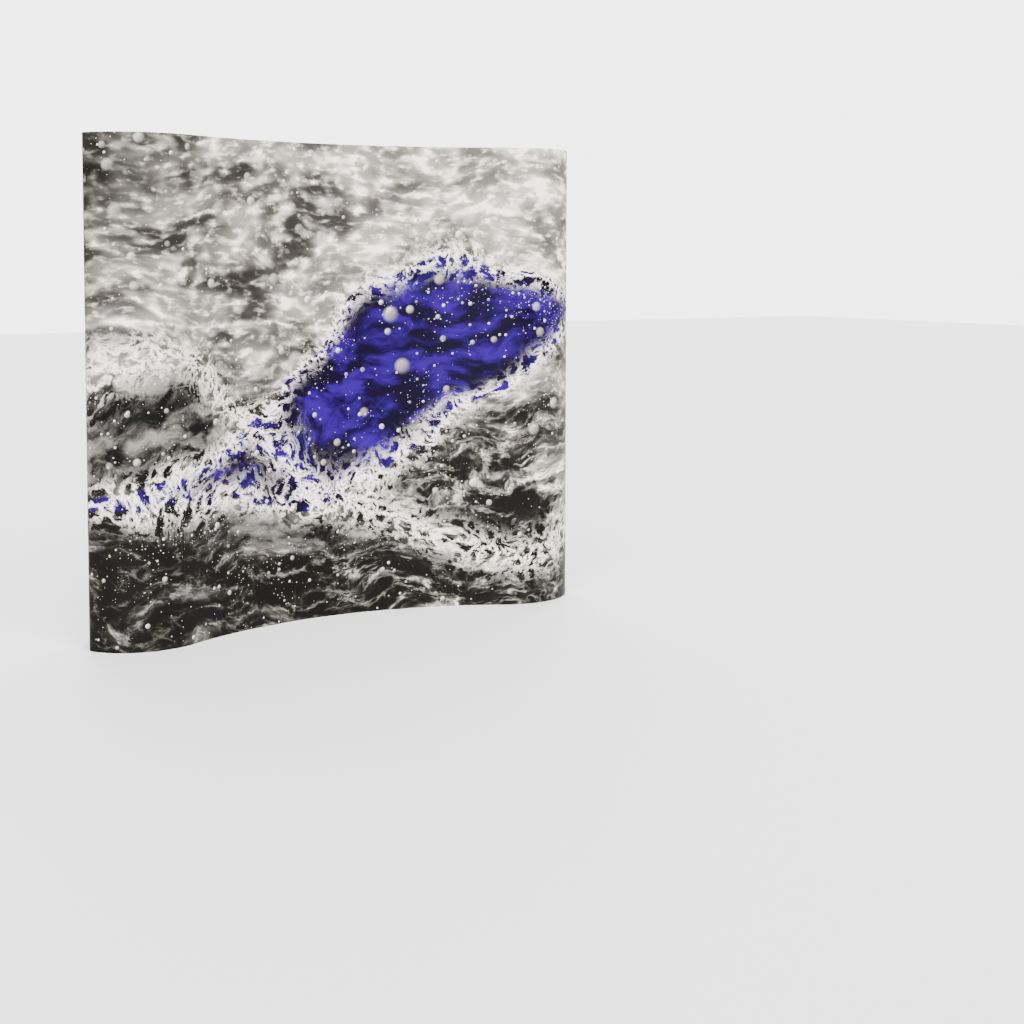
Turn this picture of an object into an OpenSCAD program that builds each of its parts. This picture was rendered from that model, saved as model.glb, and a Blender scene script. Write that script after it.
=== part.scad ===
// Curved pop-up display backwall: a collapsible tube lattice, three bays wide and
// three bays high, that carries magnetic channel bars and five hanging graphic panels.
// Z is up, the printed front faces -Y, and X runs along the width of the wall.

/* [Overall] */
// Height of the graphic panels' top edge above the floor
wall_height = 2260; // [1900:10:2400]
// Angle between two neighbouring hub columns, seen from above
bay_angle = 18.9; // [18:0.1:20]
// Distance from a front hub to the rear hub behind it, centre to centre
frame_depth = 330; // [310:5:360]

/* [Graphic panels] */
// Radius of the hollow middle of the front
front_radius = 1671; // [1600:1:1750]
// Angle at which the front stops being hollow and starts to bulge
front_sweep = 28.8; // [28:0.1:30]
// Radius of each end panel's forward bulge
bulge_radius = 292; // [280:1:300]
// Radius of the tight bend at each end of the wall
end_bend_radius = 40; // [30:1:60]
// Angle that each bulge turns through before its tight bend
bulge_sweep = 57; // [54:0.5:62]
// Radius of an end panel's last bend before the rear channel bar
return_radius = 200; // [120:5:260]
// Thickness of the laminated graphic
sheet = 1; // [0.8:0.1:2]
// Gap between two neighbouring panels
seam_gap = 0.6; // [0.4:0.1:1.5]
// Height of the panels' bottom edge above the floor
hem_height = 3; // [2:0.5:12]

/* [Hubs] */
// Radius of a hub
hub_radius = 30; // [28:0.5:34]
// Thickness of a hub
hub_thickness = 20; // [18:0.5:24]
// Distance from a hub's centre to the pin of a tube
pin_offset = 22; // [21:0.5:23]
// Diameter of a tube's pin in the hub
pin_d = 4; // [3:0.5:5]
// Height of a foot under the bottom hubs
foot_height = 5; // [3:0.5:12]

/* [Tubes] */
// Outside diameter of a lattice tube
tube_d = 14; // [12:0.5:14.5]
// Wall of a lattice tube
tube_wall = 1.2; // [1:0.1:2]
// Gap between two tubes where they cross
cross_gap = 1; // [0.8:0.1:2]
// Diameter of the rivet through a crossing
rivet_d = 4; // [3:0.5:5]
// Thickness of the tongue on a tube's end fitting
tongue_t = 6; // [4:0.5:7]

/* [Channel bars] */
// Width of a channel bar
bar_width = 36; // [32:1:40]
// Depth of a channel bar
bar_depth = 9; // [8:0.5:10]
// Wall of a channel bar
bar_wall = 1.4; // [1.2:0.1:1.8]
// Width of the slot along a channel bar's back
bar_slot = 21; // [18:0.5:22]
// Width of the magnetic strip on a channel bar
magnet_width = 30; // [24:1:32]
// Thickness of the magnetic strip
magnet_t = 1.5; // [1:0.1:1.8]
// Thickness of the tape on the back of a panel
tape_t = 0.8; // [0.5:0.1:1]
// Width of the tape along a panel's edge
tape_width = 12; // [10:0.5:14]

/* [Locking arms] */
// Width of a locking arm
arm_width = 13; // [11:0.5:15]
// Thickness of a locking arm
arm_t = 8; // [6:0.5:9]

/* [Hidden] */
$fn = 48;
COLS = [0 : 3];
ROWS = [0 : 3];
BAYS = [0 : 2];
fit = 0.3;              // clearance between pieces that move or come apart
play = 0.2;             // clearance of a pin or rivet in its hole
seat_gap = 0.05;        // between flat faces that rest on each other
rim_gap = 0.5;          // between an outer hub's rim and the bar in front of it
eps = 0.01;

// The lattice. Every tube has the same length, so that the frame can fold flat: the
// height sets the tube length, and the tube length sets the radius of the hub circles.
top_gap = 4;
row_z0 = foot_height + hub_radius;
row_pitch = (wall_height - top_gap - hub_radius - row_z0) / 3;
half_angle = bay_angle / 2;
tube_length = sqrt(pow(row_pitch - 2 * pin_offset, 2) + pow(frame_depth, 2));
bay_depth = frame_depth * cos(half_angle);
bay_span = sqrt(pow(tube_length, 2) - pow(bay_depth, 2));
front_r = (bay_span + 2 * pin_offset * cos(half_angle) - frame_depth * sin(half_angle))
          / (2 * sin(half_angle));
rear_r = front_r + frame_depth;
front_half = front_r * sin(half_angle) - pin_offset * cos(half_angle);
rear_half = rear_r * sin(half_angle) - pin_offset * cos(half_angle);
bay_cross = front_half / (front_half + rear_half);
tube_side = (tube_d + cross_gap) / 2;
function row_z(j) = row_z0 + j * row_pitch;
function col_angle(c) = (c - 3 / 2) * bay_angle;

// Sections of a channel bar, its magnet and the tape that meets it, counted from the
// front face of the graphic
stack = sheet + seat_gap + tape_t + fit + magnet_t + seat_gap + bar_depth;
landing = seam_gap / 2 + fit + tape_width;   // half a graphic's flat land on an outer bar
outer_angle = col_angle(3);
// From an outer hub's centre to the back of its bar, which the turned hub's rim nearly meets
outer_seat = hub_thickness / 2 * cos(outer_angle) + hub_radius * sin(outer_angle) + rim_gap;

// Plan of the wall. v counts away from the viewer and is 0 on the front of the graphic
// at the middle of the wall; u counts to the right.
outer_u = front_r * sin(outer_angle);
side_u = front_radius * sin(front_sweep);
side_v = -front_radius * (1 - cos(front_sweep));
side_radius = (outer_u - landing - side_u) / sin(front_sweep);
front_v = side_v - side_radius * (1 - cos(front_sweep));
circle_v = front_v + stack + outer_seat - front_r * cos(outer_angle);
inner_hub = [front_r * sin(half_angle), circle_v + front_r * cos(half_angle)];
outer_hub = [outer_u, circle_v + front_r * cos(outer_angle)];
rear_hub = [rear_r * sin(outer_angle), circle_v + rear_r * cos(outer_angle)];
seam_angle = atan2(inner_hub[0], inner_hub[1] + front_radius);
inner_seat = norm([inner_hub[0], inner_hub[1] + front_radius]) - front_radius - stack;
rear_land = 180 - 2 * outer_angle;      // direction of the graphic on the rear bar
back_v = circle_v + (rear_r + hub_thickness / 2) * cos(half_angle)
         + hub_radius * sin(half_angle);
mid_v = (front_v + back_v) / 2;

// A path is a list of [u, v, direction], with direction 0 to the right and 90 away from
// the viewer. Each step adds a straight or an arc to the end of the path.
function last(p) = p[len(p) - 1];
function ahead(s, d) = [s[0] + d * cos(s[2]), s[1] + d * sin(s[2]), s[2]];
function straight(s, d) = [ahead(s, d)];
function bend(s, r, turn, step = 4) =
    let (n = ceil(abs(turn) / step), k = sign(turn),
         cu = s[0] - k * r * sin(s[2]), cv = s[1] + k * r * cos(s[2]))
    [for (i = [1 : n]) let (h = s[2] + turn * i / n)
        [cu + k * r * sin(h), cv - k * r * cos(h), h]];
// Centre of a bend of radius r to the left
function eye(s, r) = [s[0] - r * sin(s[2]), s[1] + r * cos(s[2])];
// The path's face at a depth behind the front of the graphic
function face(p, depth) = [for (s = p) [s[0] - depth * sin(s[2]), s[1] + depth * cos(s[2])]];
function reversed(p) = [for (i = [len(p) - 1 : -1 : 0]) p[i]];
module layer(p, near, far) {
    polygon(concat(face(p, near), reversed(face(p, far))));
}

// A channel bar's place: [hub, direction of the graphic there, from the hub to the bar's back]
inner_bar = [inner_hub, -seam_angle, inner_seat];
outer_bar = [outer_hub, 0, outer_seat];
rear_bar = [rear_hub, rear_land, outer_seat];
// Where a bar's centre line meets the front of the graphic
function land(b) = let (d = b[2] + stack)
    [b[0][0] + d * sin(b[1]), b[0][1] - d * cos(b[1]), b[1]];

function mirror_path(p) = [for (s = reversed(p)) [-s[0], s[1], -s[2]]];
start = [0, 0, 0];
half_center = concat([start], bend(start, front_radius, -seam_angle, 2));
middle_path = concat(mirror_path(half_center),
                     [for (i = [1 : len(half_center) - 1]) half_center[i]]);
side_start = last(half_center);
side_bend = bend(side_start, front_radius, seam_angle - front_sweep, 2);
side_flare = bend(last(side_bend), side_radius, front_sweep, 3);
side_path = concat([side_start], side_bend, side_flare, straight(last(side_flare), landing));
end_start = last(side_path);
end_land = straight(end_start, landing);
end_bulge = bend(last(end_land), bulge_radius, bulge_sweep, 3);
// Behind the tight bend, a straight runs along the common tangent to the last bend, which
// ends where the rear bar's land starts
rear_start = ahead(land(rear_bar), -bar_width / 2);
eye_step = eye(rear_start, return_radius) - eye(last(end_bulge), end_bend_radius);
radius_step = return_radius - end_bend_radius;
return_angle = atan2(eye_step[1], eye_step[0]) - asin(radius_step / norm(eye_step));
return_run = sqrt(pow(norm(eye_step), 2) - pow(radius_step, 2));
end_corner = bend(last(end_bulge), end_bend_radius, return_angle - bulge_sweep, 5);
end_return = straight(last(end_corner), return_run);
end_last = bend(last(end_return), return_radius, rear_land - return_angle, 3);
end_path = concat([end_start], end_land, end_bulge, end_corner, end_return, end_last,
                  straight(last(end_last), bar_width));
function shorten(p, a, b) = concat([ahead(p[0], a)], [for (i = [1 : len(p) - 2]) p[i]],
                                   [ahead(last(p), -b)]);

// Colours
black_plastic = [0.07, 0.07, 0.075];
silver = [0.72, 0.73, 0.75];
steel = [0.6, 0.61, 0.63];
dark = [0.03, 0.03, 0.03];
print_grey = [0.62, 0.61, 0.58];
print_blue = [0.42, 0.42, 0.6];
rubber_black = [0.05, 0.05, 0.05];
arm_grey = [0.32, 0.33, 0.35];

// ---------------------------------------------------------------- places

// From plan coordinates to the part's own frame
module plan() {
    translate([0, -mid_v, 0]) children();
}
// The frame of a hub column: x along the wall, y away from the viewer
module column(c) {
    plan() translate([0, circle_v, 0]) rotate([0, 0, -col_angle(c)]) children();
}
// A hub's own frame: x along the wall, y up, z out of the hub's outer face
module front_hub_at(c, j) {
    column(c) translate([0, front_r, row_z(j)]) rotate([90, 0, 0]) children();
}
module rear_hub_at(c, j) {
    column(c) translate([0, rear_r, row_z(j)]) rotate([0, 0, 180]) rotate([90, 0, 0]) children();
}
// A channel bar's frame in plan: x along the graphic, y away from the viewer, origin on
// the graphic's front face
module bar_at(b, side = 1) {
    plan() mirror([side < 0 ? 1 : 0, 0, 0]) translate([land(b)[0], land(b)[1], 0])
        rotate([0, 0, b[1]]) children();
}

// ---------------------------------------------------------------- hubs

hub_chamfer = 2;
core_r = 16;                        // raised middle of each face, which carries what stands on it
rim_w = 3.5;                        // raised rim, its chamfer included
recess = 1.5;                       // depth of the faces between the middle and the rim
draft = 0.4;
slot_t = tongue_t + 2 * fit;
slot_back = 8;                      // how far a slot runs behind its pin
slot_root = pin_offset - slot_back;
boss_r = 9;
boss_h = 3;
boss_taper = 1;
thumb_r = 5;
thumb_depth = 2;

// Moulded body of a hub: both faces are recessed between a raised middle and a raised rim
module hub_blank() {
    h = hub_thickness / 2;
    c = hub_chamfer;
    rim = hub_radius - rim_w;
    face = [[core_r, h], [core_r + draft, h - recess], [rim - draft, h - recess], [rim, h],
            [hub_radius - c, h], [hub_radius, h - c]];
    rotate_extrude() polygon(concat([[0, h]], face,
                                    [for (q = reversed(face)) [q[0], -q[1]]], [[0, -h]]));
}
// The four tube slots stand off centre like a pinwheel, so that crossing tubes pass
module hub_slots() {
    for (k = [0 : 3]) rotate([0, 0, 90 * k]) {
        translate([slot_root, tube_side - slot_t / 2, -hub_thickness])
            cube([hub_radius, slot_t, 2 * hub_thickness]);
        translate([pin_offset, tube_side - hub_radius / 2, 0]) rotate([-90, 0, 0])
            cylinder(h = 2 * hub_radius, d = pin_d + 2 * play);
    }
}
// Lightening pockets between the slots, open to the outer face
pocket_r = 4.5;
pocket_wall = 6.5;
pocket_at = hub_radius - pocket_wall - pocket_r;
pocket_depth = 6;
module hub_pockets() {
    for (k = [0 : 3]) rotate([0, 0, 45 + 90 * k])
        translate([pocket_at, 0, hub_thickness / 2 - pocket_depth])
            cylinder(h = pocket_depth + 1, r = pocket_r);
}
module hub_body() {
    difference() {
        hub_blank();
        hub_slots();
        hub_pockets();
    }
}

// The locking arm turns on a pin between two ears on the front hub's inner face, in a
// plane halfway between the tubes. It opens upward and towards the middle of the wall.
pivot_out = 9;                      // from the hub's inner face to the arm's pin
ear_t = 4;
ear_r = 7;
arm_pin_d = 4;
arm_gap = fit;
catch_out = 9;                      // from the rear hub's inner face to the catch pin
arm_span = frame_depth - hub_thickness - pivot_out - catch_out;
function lean(c) = c < 2 ? 1 : -1;
// The arm's plane: x towards the arm's opening side, z out of the hub, y across the arm
module arm_plane(c, rear) {
    tilt = lean(c) * (rear ? -1 : 1) > 0 ? 45 : 135;
    rotate([0, 0, tilt]) children();
}
module ears(out, gap) {
    for (s = [-1, 1]) translate([0, s * (gap / 2 + ear_t / 2), -hub_thickness / 2 + eps])
        rotate([90, 0, 0]) difference() {
            translate([0, 0, -ear_t / 2]) linear_extrude(ear_t) {
                translate([0, -out]) circle(r = ear_r);
                translate([-ear_r, -out]) square([2 * ear_r, out]);
            }
            translate([0, -out, -ear_t]) cylinder(h = 2 * ear_t, d = arm_pin_d + 2 * play);
        }
}
module front_hub(c) {
    hub_body();
    arm_plane(c, false) ears(pivot_out, arm_t + 2 * arm_gap);
}
module rear_hub(c) {
    hub_body();
    arm_plane(c, true) ears(catch_out, arm_t + 2 * arm_gap);
}
module front_hubs(c) {
    color(black_plastic) for (j = ROWS) front_hub_at(c, j) front_hub(c);
}
// Where no bar stands on it, a rear hub has a dished boss to pull by
module pull_boss() {
    translate([0, 0, hub_thickness / 2 - eps]) rotate_extrude()
        polygon([[0, 0], [boss_r, 0], [boss_r - boss_taper, boss_h], [thumb_r, boss_h],
                 [thumb_r - boss_taper, boss_h - thumb_depth], [0, boss_h - thumb_depth]]);
}
module rear_hubs(c) {
    color(black_plastic) for (j = ROWS) rear_hub_at(c, j) {
        rear_hub(c);
        if (c > 0 && c < 3) pull_boss();
    }
}

// ---------------------------------------------------------------- tubes

collar_at = 11.6;         // from a tube's pin to the collar of its end fitting
collar_t = 6;
plug_t = 16;
eye_r = 6;
tongue_w = 11;
tube_at = collar_at + collar_t;
rivet_head_r = 4.5;
rivet_head_t = 1.6;

// A tube's own frame: x from its front pin to its rear pin, z across its flat tongues
module bay_tube_at(i, j, up) {
    // up = 1: from the left front hub to the right rear hub, above the bay's plane
    s = up > 0 ? 1 : -1;
    a = up > 0 ? col_angle(i) : col_angle(i + 1);
    ax = front_r * sin(a) + s * pin_offset * cos(a);
    ay = front_r * cos(a) - s * pin_offset * sin(a);
    mid_a = col_angle(i) + half_angle;
    plan() translate([ax, circle_v + ay, row_z(j) + s * tube_side])
        rotate([0, 0, (up > 0 ? 0 : 180) - mid_a + s * atan2(bay_depth, bay_span)]) children();
}
module column_tube_at(c, j, up) {
    // up = 1: from the lower front hub to the upper rear hub
    z = up > 0 ? row_z(j) + pin_offset : row_z(j + 1) - pin_offset;
    rise = atan2(row_pitch - 2 * pin_offset, frame_depth);
    column(c) translate([-up * tube_side, front_r, z])
        rotate([up * rise, 0, 0]) rotate([0, 0, 90]) rotate([90, 0, 0]) children();
}
module tube(cross) {
    difference() {
        translate([tube_at, 0, 0]) rotate([0, 90, 0]) difference() {
            cylinder(h = tube_length - 2 * tube_at, d = tube_d);
            translate([0, 0, -tube_at])
                cylinder(h = tube_length, d = tube_d - 2 * tube_wall);
        }
        translate([cross * tube_length, 0, -tube_d])
            cylinder(h = 2 * tube_d, d = rivet_d + 2 * play);
    }
}
module tube_end() {
    difference() {
        union() {
            translate([0, 0, -tongue_t / 2]) cylinder(h = tongue_t, r = eye_r);
            translate([0, -tongue_w / 2, -tongue_t / 2])
                cube([collar_at + eps, tongue_w, tongue_t]);
            translate([collar_at, 0, 0]) rotate([0, 90, 0]) cylinder(h = collar_t, d = tube_d);
            translate([collar_at, 0, 0]) rotate([0, 90, 0])
                cylinder(h = collar_t + plug_t, d = tube_d - 2 * tube_wall - play);
        }
        translate([0, 0, -tongue_t]) cylinder(h = 2 * tongue_t, d = pin_d + 2 * play);
    }
}
module both_ends() {
    tube_end();
    translate([tube_length, 0, 0]) rotate([0, 0, 180]) tube_end();
}
module row_tubes(j) {
    color(silver) for (i = BAYS, up = [-1, 1]) bay_tube_at(i, j, up) tube(bay_cross);
}
module column_tubes(c) {
    color(silver) for (j = BAYS, up = [-1, 1]) column_tube_at(c, j, up) tube(0.5);
}
module row_tube_ends() {
    color(black_plastic) for (i = BAYS, j = ROWS, up = [-1, 1])
        bay_tube_at(i, j, up) both_ends();
}
module column_tube_ends() {
    color(black_plastic) for (c = COLS, j = BAYS, up = [-1, 1])
        column_tube_at(c, j, up) both_ends();
}
// A rivet holds two crossing tubes and the washer between them
module rivet() {
    outside = tube_side + tube_d / 2 + eps;
    cylinder(h = 2 * outside, d = rivet_d, center = true);
    for (s = [-1, 1]) translate([0, 0, s * (outside + rivet_head_t / 2)])
        cylinder(h = rivet_head_t, r = rivet_head_r, center = true);
    cylinder(h = cross_gap - 2 * seat_gap, r = rivet_head_r, center = true);
}
module cross_rivets() {
    color(steel) {
        for (i = BAYS, j = ROWS) bay_tube_at(i, j, 1)
            translate([bay_cross * tube_length, 0, -tube_side]) rivet();
        for (c = COLS, j = BAYS) column_tube_at(c, j, 1)
            translate([tube_length / 2, 0, tube_side]) rivet();
    }
}
// Each tube turns on a steel pin across its hub slot. It ends inside the hub's rim.
pin_length = 2 * (sqrt(pow(hub_radius, 2) - pow(pin_offset + pin_d / 2, 2)) - tube_side);
module hub_pins() {
    color(steel) for (c = COLS, j = ROWS, face = [0, 1], k = [0 : 3])
        if (pin_used(c, j, face, k)) hub_at(face, c, j) rotate([0, 0, 90 * k])
            translate([pin_offset, tube_side - pin_length / 2, 0]) rotate([-90, 0, 0])
                cylinder(h = pin_length, d = pin_d);
}
// Slots: 0 right, 1 up, 2 left, 3 down, as seen from the hub's outer face
function pin_used(c, j, face, k) =
    k == 1 ? j < 3 : k == 3 ? j > 0 : (k == 0) == (face == 0) ? c < 3 : c > 0;
module hub_at(face, c, j) {
    if (face == 0) front_hub_at(c, j) children();
    if (face == 1) rear_hub_at(c, j) children();
}

// ---------------------------------------------------------------- locking arms

arm_eye = arm_width / 2;
arm_waist = 0.64;                   // share of the width between the eyes
catch_d = 4;
jaw_gap = catch_d + 2 * fit;
// Side view of an arm: pivot at the origin, catch pin at [arm_span, 0]. The jaw is open on
// the side that the arm swings away from.
module arm_outline() {
    difference() {
        union() {
            circle(r = arm_eye);
            translate([arm_span, 0]) circle(r = arm_eye);
            translate([0, -arm_width * arm_waist / 2])
                square([arm_span, arm_width * arm_waist]);
        }
        circle(d = arm_pin_d + 2 * play);
        translate([arm_span, 0]) circle(d = jaw_gap);
        translate([arm_span - jaw_gap / 2, -2 * arm_width]) square([jaw_gap, 2 * arm_width]);
    }
}
groove_w = arm_width * 0.3;
groove_cut = 2;
module arm() {
    difference() {
        linear_extrude(arm_t, center = true) arm_outline();
        for (s = [-1, 1]) translate([2 * arm_eye, -groove_w / 2, s * arm_t / 2 - groove_cut / 2])
            cube([arm_span - 4 * arm_eye, groove_w, groove_cut]);
    }
}
module locking_arm(c, j) {
    color(arm_grey) front_hub_at(c - 1, j - 1) arm_plane(c - 1, false)
        translate([0, 0, -hub_thickness / 2 - pivot_out])
            rotate([90, 0, 0]) rotate([0, 0, -90]) arm();
}
module arm_pins() {
    h = arm_t + 2 * arm_gap + 2 * ear_t;
    color(steel) for (c = COLS, j = ROWS) {
        front_hub_at(c, j) arm_plane(c, false)
            translate([0, 0, -hub_thickness / 2 - pivot_out]) rotate([90, 0, 0])
                cylinder(h = h, d = arm_pin_d, center = true);
        rear_hub_at(c, j) arm_plane(c, true)
            translate([0, 0, -hub_thickness / 2 - catch_out]) rotate([90, 0, 0])
                cylinder(h = h, d = catch_d, center = true);
    }
}

// ---------------------------------------------------------------- feet

foot_w = 40;
foot_rise = 9;
foot_toe = 2;                       // chamfer at the floor
foot_shoulder = 4;                  // how far the cheeks lean in towards the hub
module foot() {
    h = foot_height + foot_rise;
    w = foot_w / 2;
    difference() {
        rotate([90, 0, 0]) linear_extrude(hub_thickness, center = true)
            polygon([[foot_toe - w, 0], [w - foot_toe, 0], [w, foot_toe], [w, foot_height],
                     [w - foot_shoulder, h], [foot_shoulder - w, h], [-w, foot_height],
                     [-w, foot_toe]]);
        translate([0, 0, row_z0]) rotate([90, 0, 0])
            cylinder(h = 2 * hub_thickness, r = hub_radius + play, center = true, $fn = 96);
    }
}
module feet() {
    color(rubber_black) for (c = COLS) {
        column(c) translate([0, front_r, 0]) foot();
        column(c) translate([0, rear_r, 0]) foot();
    }
}

// ---------------------------------------------------------------- channel bars

bar_back = stack;                                   // depth of a bar's back plane
bar_front = stack - bar_depth;
bar_inset = 5;                                      // from the panels' hem to a bar's end
bar_drop = 10;                                      // from the panels' top to a bar's end
bar_bottom = hem_height + bar_inset;
bar_top = wall_height - bar_drop;
joint_drop = 60;                                    // section joints below a hub row
section_gap = 0.2;
section_z = [bar_bottom, row_z(1) - joint_drop, row_z(2) - joint_drop, bar_top];
clip_play = 1;                                      // sideways play of a clip in its bar
head_w = bar_width - 2 * bar_wall - 2 * fit - clip_play;
head_t = 2.4;
head_h = 14;
neck_w = bar_slot - 2 * fit - 2 * clip_play;
head_at = bar_back - bar_wall - fit;

// Plan section of a bar: the web faces the graphic, the lips close round the clip heads
module bar_section() {
    w = bar_width / 2;
    s = bar_slot / 2;
    t = bar_wall;
    polygon([[-w, bar_front], [w, bar_front], [w, bar_back], [s, bar_back],
             [s, bar_back - t], [w - t, bar_back - t], [w - t, bar_front + t],
             [t - w, bar_front + t], [t - w, bar_back - t], [-s, bar_back - t],
             [-s, bar_back], [-w, bar_back]]);
}
// Below every clip the lips are notched, so that a bar lifted by its head height comes off
notch_gap = 1;
notch_h = head_h + 2 * notch_gap;
notch_w = head_w + 2 * notch_gap;
module bar() {
    difference() {
        for (k = [0 : 2]) translate([0, 0, section_z[k]])
            linear_extrude(section_z[k + 1] - section_z[k] - (k < 2 ? section_gap : 0))
                bar_section();
        for (j = ROWS) translate([0, bar_back, row_z(j) - head_h / 2 - notch_gap - notch_h / 2])
            cube([notch_w, 2 * bar_wall + notch_gap, notch_h], center = true);
    }
}
// The strip ends short of the bar's top, where the panels' tabs come down
magnet_drop = 12;
module magnet() {
    near = bar_front - magnet_t - seat_gap;
    for (k = [0 : 2]) translate([-magnet_width / 2, near, section_z[k]])
        cube([magnet_width, magnet_t,
              section_z[k + 1] - section_z[k] - (k < 2 ? section_gap : magnet_drop)]);
}
// What slides into a bar's channel, from z = low to z = high
module bar_core(low, high) {
    w = bar_width - 2 * bar_wall - 2 * play;
    d = bar_depth - 2 * bar_wall - 2 * play;
    translate([-w / 2, bar_front + bar_wall + play, low]) cube([w, d, high - low]);
}
joiner_h = 50;
module joiner() {
    for (k = [1, 2]) bar_core(section_z[k] - joiner_h / 2, section_z[k] + joiner_h / 2);
}
// The cap's plug reaches down to the top clip
cap_t = 3;
module cap() {
    translate([-bar_width / 2, bar_front, bar_top + seat_gap])
        cube([bar_width, bar_depth, cap_t]);
    bar_core(row_z(3) + head_h / 2 + fit, bar_top + 2 * seat_gap);
}
module on_bars() {
    for (s = [-1, 1]) {
        bar_at(inner_bar, s) children();
        bar_at(outer_bar, s) children();
        bar_at(rear_bar, s) children();
    }
}
module bar_magnets() {
    color(dark) on_bars() magnet();
}
module bar_joiners() {
    color(steel) on_bars() joiner();
}
module bar_caps() {
    color(black_plastic) on_bars() cap();
}
// A bracket stands on a hub's outer face, turned to the bar's own direction, and ends in a
// T-shaped clip inside the bar. hub is the hub's direction in plan.
pad_w = 9;
pad_h = 24;
core_d = 8;
module bracket(b, turn) {
    seat = bar_back + fit;
    foot_mid = bar_back + b[2];                    // hub centre, in the bar's frame
    rise = hub_thickness / 2 + seat_gap;           // hub centre to the bracket's foot
    p = [for (s = [-1, 1]) [s * pad_w * cos(turn) + rise * sin(turn),
                            foot_mid + s * pad_w * sin(turn) - rise * cos(turn)]];
    // The block is cored out from end to end, as a moulding is
    translate([0, 0, -pad_h / 2]) linear_extrude(pad_h) difference() {
        polygon([p[0], [-pad_w, seat], [pad_w, seat], p[1]]);
        translate([0, (seat + foot_mid - rise) / 2]) circle(d = core_d);
    }
    translate([-neck_w / 2, head_at - eps, -head_h / 2])
        cube([neck_w, seat - head_at + 2 * eps, head_h]);
    translate([-head_w / 2, head_at - head_t, -head_h / 2]) cube([head_w, head_t, head_h]);
}
module brackets_on(b, turn) {
    for (s = [-1, 1], j = ROWS) bar_at(b, s) translate([0, 0, row_z(j)]) bracket(b, turn);
}
module front_bar_brackets() {
    color(black_plastic) {
        brackets_on(inner_bar, seam_angle - half_angle);
        brackets_on(outer_bar, -outer_angle);
    }
}
module rear_bar_brackets() {
    color(black_plastic) brackets_on(rear_bar, 180 - outer_angle - rear_land);
}

// ---------------------------------------------------------------- graphic panels

panel_h = wall_height - hem_height;
half_seam = seam_gap / 2;
module panel(p) {
    translate([0, 0, hem_height]) linear_extrude(panel_h) layer(p, 0, sheet);
}
module half_side(side) {
    plan() mirror([side < 0 ? 1 : 0, 0, 0]) children();
}
// Tape runs down a panel's edge. A hooked tab at its top hangs on the bar's cap.
tab_t = 1.6;
tab_z = bar_top - magnet_drop / 2;      // bottom of a tab
tab_rest = bar_top + seat_gap + cap_t + fit;
module fixings(s) {
    near = sheet + seat_gap;
    x0 = s > 0 ? half_seam + fit : -half_seam - fit - tape_width;
    translate([x0, near, bar_bottom]) cube([tape_width, tape_t, tab_z - bar_bottom - play]);
    translate([x0, near, tab_z]) cube([tape_width, tab_t, tab_rest + tab_t - tab_z]);
    translate([x0, near, tab_rest]) cube([tape_width, bar_back - near, tab_t]);
}
module mural_center() {
    color(print_grey) plan() panel(shorten(middle_path, half_seam, half_seam));
}
module side_panel(side) {
    half_side(side) panel(shorten(side_path, half_seam, half_seam));
}
module end_panel(side) {
    half_side(side) panel(shorten(end_path, half_seam, 0));
}
module mural_left() {
    color(print_blue) side_panel(-1);
}
module mural_right() {
    color(print_grey) side_panel(1);
}
module end_panel_left() {
    color(print_grey) end_panel(-1);
}
module end_panel_right() {
    color(print_grey) end_panel(1);
}
module mural_center_fixings() {
    color(dark) {
        bar_at(inner_bar, -1) fixings(-1);
        bar_at(inner_bar, 1) fixings(-1);
    }
}
module side_fixings(side) {
    color(dark) {
        bar_at(inner_bar, side) fixings(1);
        bar_at(outer_bar, side) fixings(-1);
    }
}
module end_fixings(side) {
    color(dark) {
        bar_at(outer_bar, side) fixings(1);
        bar_at(rear_bar, side) fixings(-1);
    }
}

front_hubs(0);  // front_hubs_1
front_hubs(1);  // front_hubs_2
front_hubs(2);  // front_hubs_3
front_hubs(3);  // front_hubs_4
rear_hubs(0);  // rear_hubs_1
rear_hubs(1);  // rear_hubs_2
rear_hubs(2);  // rear_hubs_3
rear_hubs(3);  // rear_hubs_4
row_tubes(0);  // row_tubes_1
row_tubes(1);  // row_tubes_2
row_tubes(2);  // row_tubes_3
row_tubes(3);  // row_tubes_4
column_tubes(0);  // column_tubes_1
column_tubes(1);  // column_tubes_2
column_tubes(2);  // column_tubes_3
column_tubes(3);  // column_tubes_4
row_tube_ends();
column_tube_ends();
cross_rivets();
hub_pins();
arm_pins();
front_bar_brackets();
rear_bar_brackets();
feet();
color(silver) bar_at(outer_bar, -1) bar();  // channel_bar_front_1
color(silver) bar_at(inner_bar, -1) bar();  // channel_bar_front_2
color(silver) bar_at(inner_bar, 1) bar();  // channel_bar_front_3
color(silver) bar_at(outer_bar, 1) bar();  // channel_bar_front_4
color(silver) bar_at(rear_bar, -1) bar();  // channel_bar_rear_left
color(silver) bar_at(rear_bar, 1) bar();  // channel_bar_rear_right
bar_magnets();
bar_joiners();
bar_caps();
locking_arm(1, 1);  // locking_arm_1_1
locking_arm(1, 2);  // locking_arm_1_2
locking_arm(1, 3);  // locking_arm_1_3
locking_arm(1, 4);  // locking_arm_1_4
locking_arm(2, 1);  // locking_arm_2_1
locking_arm(2, 2);  // locking_arm_2_2
locking_arm(2, 3);  // locking_arm_2_3
locking_arm(2, 4);  // locking_arm_2_4
locking_arm(3, 1);  // locking_arm_3_1
locking_arm(3, 2);  // locking_arm_3_2
locking_arm(3, 3);  // locking_arm_3_3
locking_arm(3, 4);  // locking_arm_3_4
locking_arm(4, 1);  // locking_arm_4_1
locking_arm(4, 2);  // locking_arm_4_2
locking_arm(4, 3);  // locking_arm_4_3
locking_arm(4, 4);  // locking_arm_4_4
mural_center();
mural_left();
mural_right();
end_panel_left();
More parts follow.
